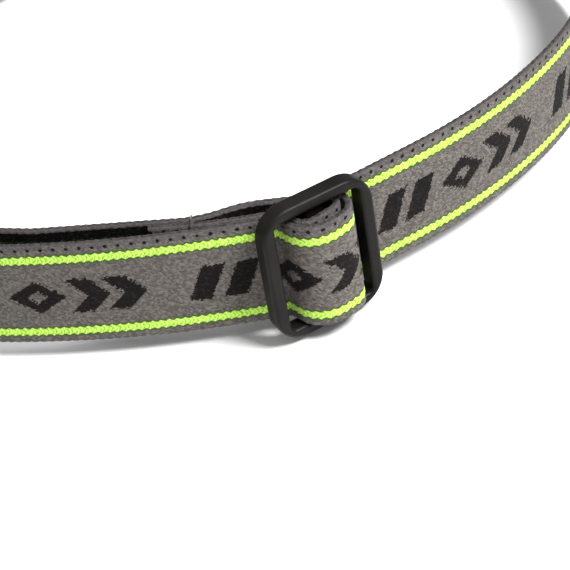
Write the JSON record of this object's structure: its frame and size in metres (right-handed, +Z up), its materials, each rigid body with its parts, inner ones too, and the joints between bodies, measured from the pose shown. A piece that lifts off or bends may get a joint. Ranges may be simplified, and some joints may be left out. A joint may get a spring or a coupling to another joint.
{
  "type": "headlamp",
  "caption": "Headlamp on a striped elastic headband with a tri-glide slider and a small lamp that tilts in a yoke.",
  "frame": {"origin": "centre of the head opening, in the plane that the bracket and the slider stand on", "axes": "+Z up as worn, the beam points along -Y, the wearer's left is +X"},
  "size_m": [0.1767, 0.2219, 0.0382],
  "materials": {
    "webbing": "knitted elastic, grey-brown melange with two lime stripes",
    "frame_plastic": "fine matte black",
    "shell_plastic": "satin black",
    "door_plastic": "satin black",
    "slider_plastic": "fine matte warm black",
    "accent_plastic": "lime, semi-gloss",
    "foam": "closed-cell foam faced with black knit",
    "screw_steel": "brushed",
    "washer_rubber": "matte",
    "button_rubber": "matte lime",
    "clear_lens": "clear",
    "reflector_chrome": "mirror",
    "circuit_board": "green solder mask",
    "aluminium_core": "satin",
    "phosphor": "yellow phosphor",
    "red_led": "clear red epoxy",
    "cell_wrap": "printed film over steel can, no lettering",
    "contact_metal": "nickel plated"
  },
  "bodies": {
    "band": {"headband": "webbing", "bracket": "frame_plastic", "forehead_pad": "foam", "pivot_screws": "screw_steel"},
    "lamp": {"rear_shell": "shell_plastic", "front_shell": "shell_plastic", "friction_washers": "washer_rubber", "lens": "clear_lens", "lens_gasket": "washer_rubber", "bezel_ring": "accent_plastic", "reflector": "reflector_chrome", "main_pcb": "circuit_board", "heat_sink": "aluminium_core", "led_board": "aluminium_core", "led_chip": "phosphor", "side_leds": "red_led", "side_led_boards": "circuit_board", "tactile_switch": "frame_plastic", "switch_board": "circuit_board", "battery_upper": "cell_wrap", "battery_lower": "cell_wrap", "contact_springs": "contact_metal", "contact_plates": "contact_metal", "bulkhead": "frame_plastic", "door_hinge_pin": "screw_steel"},
    "button": {"switch_button": "button_rubber"},
    "door": {"battery_door": "door_plastic"},
    "slider": {"strap_slider": "slider_plastic"}
  },
  "joints": [
    {"name": "lamp_tilt", "type": "hinge", "parent": "band", "child": "lamp", "pos_m": [0, -0.115, 0.021], "axis": [1, 0, 0], "range_deg": [0, 60]},
    {"name": "button_press", "type": "slide", "parent": "lamp", "child": "button", "axis": [0, 0, -1], "range_m": [0, 0.0008], "stiffness_N_per_m": 300},
    {"name": "door_open", "type": "hinge", "parent": "lamp", "child": "door", "pos_m": [0, -0.10125, 0.03099], "axis": [-1, 0, 0], "range_deg": [0, 100]},
    {"name": "slider_travel", "type": "slide", "parent": "band", "child": "slider", "axis": [0, 1, 0], "range_m": [-0.008, 0.02], "deforming": ["headband"]}
  ]
}
